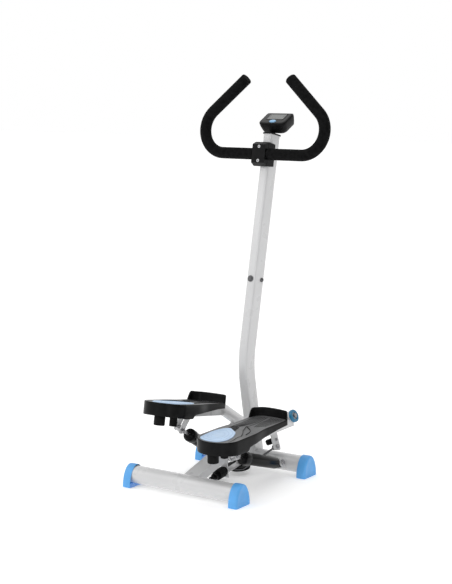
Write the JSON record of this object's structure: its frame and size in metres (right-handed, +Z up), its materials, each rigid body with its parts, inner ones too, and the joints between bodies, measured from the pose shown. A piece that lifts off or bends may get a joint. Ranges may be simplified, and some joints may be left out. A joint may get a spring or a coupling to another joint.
{
  "type": "stepper",
  "caption": "Twist stepper with two swinging pedals on inclined pivots, hydraulic dampers, a cable pulley, a tall post, a curved handlebar and a console.",
  "frame": {"origin": "on the floor, in the middle of the base across the machine and of the whole length front to back", "axes": "+Z up; +Y from the user towards the front, where the post stands; +X to the user's right"},
  "size_m": [0.4776, 0.5916, 1.2482],
  "materials": {
    "white_paint": "glossy white powder coat",
    "blue_plastic": "light blue moulded plastic",
    "teal_plastic": "teal moulded plastic",
    "bright_steel": "bright zinc plated steel",
    "cable_wire": "stranded steel cable",
    "black_plastic": "black moulded plastic",
    "pedal_plastic": "satin black moulded plastic",
    "bumper_rubber": "black rubber",
    "pedal_pad": "pale blue printed pad",
    "black_metal": "gloss black paint",
    "grip_foam": "matte black foam",
    "console_bezel": "dark grey plastic",
    "display_glass": "grey display window",
    "circuit_board": "green circuit board",
    "button_blue": "light blue plastic"
  },
  "bodies": {
    "frame": {"adjuster_screw": "bright_steel", "clamp_bolts": "bright_steel", "clamp_front": "black_plastic", "clamp_rear": "black_plastic", "console_bezel": "console_bezel", "console_board": "circuit_board", "console_case": "black_plastic", "console_mount": "black_plastic", "damper_lug_bolts": "bright_steel", "damper_lugs": "white_paint", "foam_grips": "grip_foam", "front_foot_caps": "blue_plastic", "front_foot_tube": "white_paint", "handlebar_tube": "bright_steel", "lcd_window": "display_glass", "left_end_bolt": "bright_steel", "lower_post": "white_paint", "main_beam": "white_paint", "pivot_axles": "bright_steel", "post_joint_bolts": "bright_steel", "post_joint_washers": "bright_steel", "pulley_bolt": "bright_steel", "pulley_bracket": "white_paint", "rear_foot_caps": "blue_plastic", "rear_foot_tube": "white_paint", "right_end_bolt": "bright_steel", "step_cable": "cable_wire", "upper_post": "white_paint"},
    "left_arm": {"left_bumpers": "bumper_rubber", "left_cable_end": "cable_wire", "left_ear_bolts": "bright_steel", "left_ear_roller": "black_plastic", "left_end_cap": "teal_plastic", "left_pedal": "pedal_plastic", "left_pedal_arm": "white_paint", "left_pedal_pad": "pedal_pad", "left_pivot_bushes": "black_plastic", "left_pivot_tube": "white_paint"},
    "right_arm": {"right_bumpers": "bumper_rubber", "right_cable_end": "cable_wire", "right_ear_bolts": "bright_steel", "right_ear_roller": "black_plastic", "right_end_cap": "teal_plastic", "right_pedal": "pedal_plastic", "right_pedal_arm": "white_paint", "right_pedal_pad": "pedal_pad", "right_pivot_bushes": "black_plastic", "right_pivot_tube": "white_paint"},
    "left_damper": {"left_damper_collar": "black_metal", "left_damper_cylinder": "black_metal"},
    "right_damper": {"right_damper_collar": "black_metal", "right_damper_cylinder": "black_metal"},
    "left_rod": {"left_clevis_bolt": "bright_steel", "left_damper_rod": "bright_steel"},
    "right_rod": {"right_clevis_bolt": "bright_steel", "right_damper_rod": "bright_steel"},
    "pulley": {"cable_pulley": "black_plastic"},
    "adjuster": {"adjuster_knob": "black_plastic"},
    "button": {"console_button": "button_blue"}
  },
  "joints": [
    {"name": "left_pedal_swing", "type": "hinge", "parent": "frame", "child": "left_arm", "pos_m": [0, 0.12924, 0.119], "axis": [0.9063, 0, -0.4226], "range_deg": [-9, 22.5]},
    {"name": "right_pedal_swing", "type": "hinge", "parent": "frame", "child": "right_arm", "pos_m": [0, 0.12924, 0.119], "axis": [0.9063, 0, 0.4226], "range_deg": [-22.55, 9.05]},
    {"name": "left_damper_swing", "type": "hinge", "parent": "frame", "child": "left_damper", "pos_m": [-0.121, 0.09024, 0.04], "axis": [-0.898, 0.1036, 0.4276], "range_deg": [-21.55, 8.68]},
    {"name": "left_damper_stroke", "type": "slide", "parent": "left_damper", "child": "left_rod", "axis": [0.1274, -0.869, 0.4782], "range_m": [-0.04996, 0.02016]},
    {"name": "right_damper_swing", "type": "hinge", "parent": "frame", "child": "right_damper", "pos_m": [0.121, 0.09024, 0.04], "axis": [-0.8983, -0.1031, -0.4272], "range_deg": [-8.68, 21.55]},
    {"name": "right_damper_stroke", "type": "slide", "parent": "right_damper", "child": "right_rod", "axis": [-0.0309, -0.9549, 0.2954], "range_m": [-0.02015, 0.04992]},
    {"name": "pulley_spin", "type": "hinge", "parent": "frame", "child": "pulley", "pos_m": [0, 0.04524, 0.024], "axis": [0, -0.1219, 0.9925], "range_deg": [-26.36, 10.61]},
    {"name": "height_knob_turn", "type": "hinge", "parent": "frame", "child": "adjuster", "pos_m": [0, -0.03476, 0.02728], "axis": [0, -0.9925, -0.1219], "range_deg": [-180, 180]},
    {"name": "console_button_press", "type": "slide", "parent": "frame", "child": "button", "axis": [0, 0.454, -0.891], "range_m": [0, 0.0012], "stiffness_N_per_m": 400, "springref_m": -0.001}
  ],
  "couplings": [
    {"joint": "right_pedal_swing", "follows": "left_pedal_swing", "ratio": -1},
    {"joint": "left_damper_swing", "follows": "left_pedal_swing", "ratio": -0.95324},
    {"joint": "left_damper_stroke", "follows": "left_pedal_swing", "m_per_rad": -0.12645},
    {"joint": "right_damper_swing", "follows": "left_pedal_swing", "ratio": 0.9534},
    {"joint": "right_damper_stroke", "follows": "left_pedal_swing", "m_per_rad": 0.12635},
    {"joint": "pulley_spin", "follows": "left_pedal_swing", "ratio": -1.1673}
  ]
}
